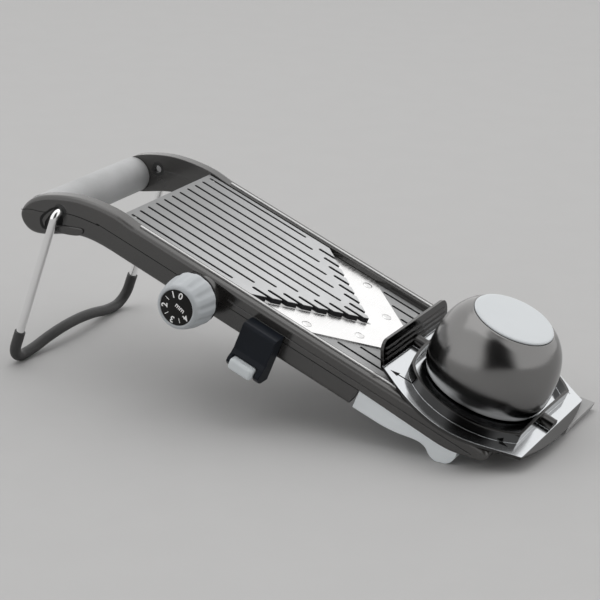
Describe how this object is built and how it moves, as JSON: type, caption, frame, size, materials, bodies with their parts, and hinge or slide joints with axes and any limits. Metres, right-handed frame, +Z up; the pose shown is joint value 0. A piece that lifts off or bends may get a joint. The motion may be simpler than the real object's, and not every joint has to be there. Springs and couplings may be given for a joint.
{
  "type": "mandoline slicer",
  "caption": "Kitchen mandoline: ridged deck with a V-shaped blade, thickness dial, julienne selector, wire stand, grip bar and sliding food guard with a round plunger.",
  "frame": {"origin": "middle of the footprint of the bounding box, on the surface that the slicer stands on", "axes": "+X runs level from the handle to the front feet, +Y across the deck away from the dial, +Z up"},
  "size_m": [0.3778, 0.1712, 0.1266],
  "materials": {
    "gloss_black": "polished black moulding",
    "cover_black": "semi-gloss black moulding",
    "strip_metal": "bright drawn strip",
    "core_black": "plain moulding",
    "grip_grey": "soft matte grey grip",
    "tab_grey": "frosted pale grey",
    "plate_grey": "fine even texture",
    "blade_steel": "ground and polished",
    "rivet_steel": "polished",
    "foot_pale": "soft pale grey",
    "bush_black": "plain bearing plastic",
    "screw_steel": "plain",
    "knob_grey": "satin light blue-grey",
    "dial_black": "printed with a white scale",
    "comb_black": "plain moulding",
    "selector_black": "semi-gloss bluish black",
    "button_grey": "satin light blue-grey",
    "wire_chrome": "bright plated wire",
    "sleeve_rubber": "matte black",
    "guard_black": "polished black moulding",
    "dome_black": "polished black moulding",
    "cap_pale": "plain pale cap"
  },
  "bodies": {
    "frame": {"rail_near": "gloss_black", "rail_far": "gloss_black", "side_cover_near": "cover_black", "side_cover_far": "cover_black", "guide_strip_near": "strip_metal", "guide_strip_far": "strip_metal", "handle_core": "core_black", "handle_grip": "grip_grey", "rear_crossbar": "cover_black", "front_crossbar": "cover_black", "parking_tab": "tab_grey", "runoff_plate": "plate_grey", "v_blade": "blade_steel", "blade_rivets": "rivet_steel", "front_foot_near": "foot_pale", "front_foot_far": "foot_pale", "stand_bush_near": "bush_black", "stand_bush_far": "bush_black", "dial_bush_near": "bush_black", "dial_bush_far": "bush_black", "knob_collar": "cover_black", "cover_screws": "screw_steel"},
    "feed": {"feed_plate": "plate_grey", "feed_hinge_pins": "screw_steel"},
    "knob": {"dial_knob": "knob_grey", "dial_disc": "dial_black", "dial_shaft": "screw_steel", "feed_cams": "bush_black"},
    "comb": {"julienne_comb": "comb_black", "julienne_knives": "blade_steel", "selector_block": "selector_black"},
    "button": {"selector_button": "button_grey"},
    "stand": {"stand_wire": "wire_chrome", "stand_sleeve": "sleeve_rubber"},
    "guard": {"guard_base": "guard_black"},
    "plunger": {"plunger_dome": "dome_black", "dome_cap": "cap_pale", "plunger_stem": "comb_black", "stem_screw": "screw_steel", "spike_plate": "guard_black", "food_spikes": "rivet_steel"}
  },
  "joints": [
    {"name": "dial_turn", "type": "hinge", "parent": "frame", "child": "knob", "pos_m": [-0.03436, 0.01216, 0.07951], "axis": [0, 1, 0], "range_deg": [0, 252]},
    {"name": "feed_tilt", "type": "hinge", "parent": "frame", "child": "feed", "pos_m": [-0.09636, 0.01216, 0.1145], "axis": [0, 1, 0], "range_deg": [0, 3.23]},
    {"name": "julienne_lift", "type": "slide", "parent": "frame", "child": "comb", "axis": [0.3656, 0, 0.9308], "range_m": [0, 0.0076]},
    {"name": "button_press", "type": "slide", "parent": "comb", "child": "button", "axis": [0, 1, 0], "range_m": [0, 0.0025], "stiffness_N_per_m": 200, "springref_m": -0.001},
    {"name": "stand_fold", "type": "hinge", "parent": "frame", "child": "stand", "pos_m": [-0.14504, 0.01216, 0.11557], "axis": [0, -1, 0], "range_deg": [0, 78]},
    {"name": "guard_slide", "type": "slide", "parent": "frame", "child": "guard", "axis": [-0.9308, 0, 0.3656], "range_m": [0, 0.185]},
    {"name": "plunger_lift", "type": "slide", "parent": "guard", "child": "plunger", "axis": [0.3656, 0, 0.9308], "range_m": [0, 0.038]}
  ],
  "couplings": [
    {"joint": "feed_tilt", "follows": "dial_turn", "ratio": 0.012794}
  ]
}
